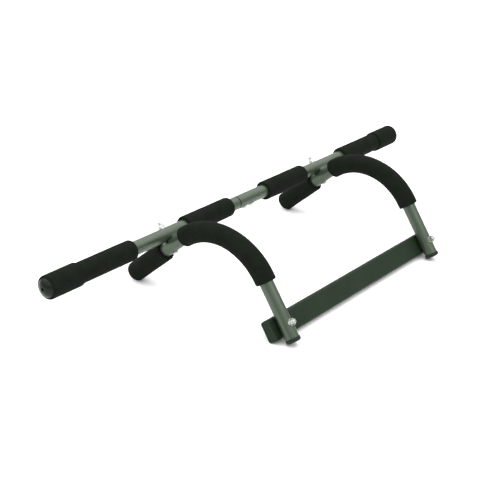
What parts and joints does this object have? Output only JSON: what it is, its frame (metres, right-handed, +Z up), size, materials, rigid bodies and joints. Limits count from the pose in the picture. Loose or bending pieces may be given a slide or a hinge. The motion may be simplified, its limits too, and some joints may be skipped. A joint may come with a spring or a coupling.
{
  "type": "doorway pull-up bar",
  "caption": "Doorway pull-up bar: two-part steel bar on two bent arms with a flat crossbar, foam grips and end bumpers, shown resting on the floor.",
  "frame": {"origin": "on the floor, under the middle of the whole bar's bounding box", "axes": "+X along the main bar, +Y from the crossbar towards the main bar, +Z up; it stands on its two leg caps and the ends of its two handle grips"},
  "size_m": [1.0158, 0.3626, 0.1601],
  "materials": {
    "tube_steel": "satin grey-green metallic powder coat",
    "crossbar_steel": "satin dark grey-green powder coat",
    "zinc": "bright zinc plate",
    "foam": "matte closed-cell foam with a fine open skin",
    "gloss_plug": "glossy black moulded plastic",
    "black_plastic": "satin black moulded plastic"
  },
  "bodies": {
    "root": {"main_bar_left": "tube_steel", "main_bar_right": "tube_steel", "end_plug_left": "gloss_plug", "end_plug_right": "gloss_plug", "end_bumper_left": "foam", "end_bumper_right": "foam", "outer_grip_left": "foam", "outer_grip_right": "foam", "inner_grip_left": "foam", "inner_grip_right": "foam", "splice_ring": "black_plastic", "splice_bolts": "zinc", "splice_nuts": "zinc", "arm_left": "tube_steel", "arm_right": "tube_steel", "arm_grip_left": "foam", "arm_grip_right": "foam", "handle_grip_left": "foam", "handle_grip_right": "foam", "handle_plug_left": "black_plastic", "handle_plug_right": "black_plastic", "arm_bolts": "zinc", "arm_washers": "zinc", "arm_nuts": "zinc", "crossbar": "crossbar_steel", "crossbar_cap_left": "crossbar_steel", "crossbar_cap_right": "crossbar_steel", "leg_cap_left": "black_plastic", "leg_cap_right": "black_plastic", "leg_bolts": "zinc", "leg_washers": "zinc", "leg_nuts": "zinc"}
  },
  "joints": []
}
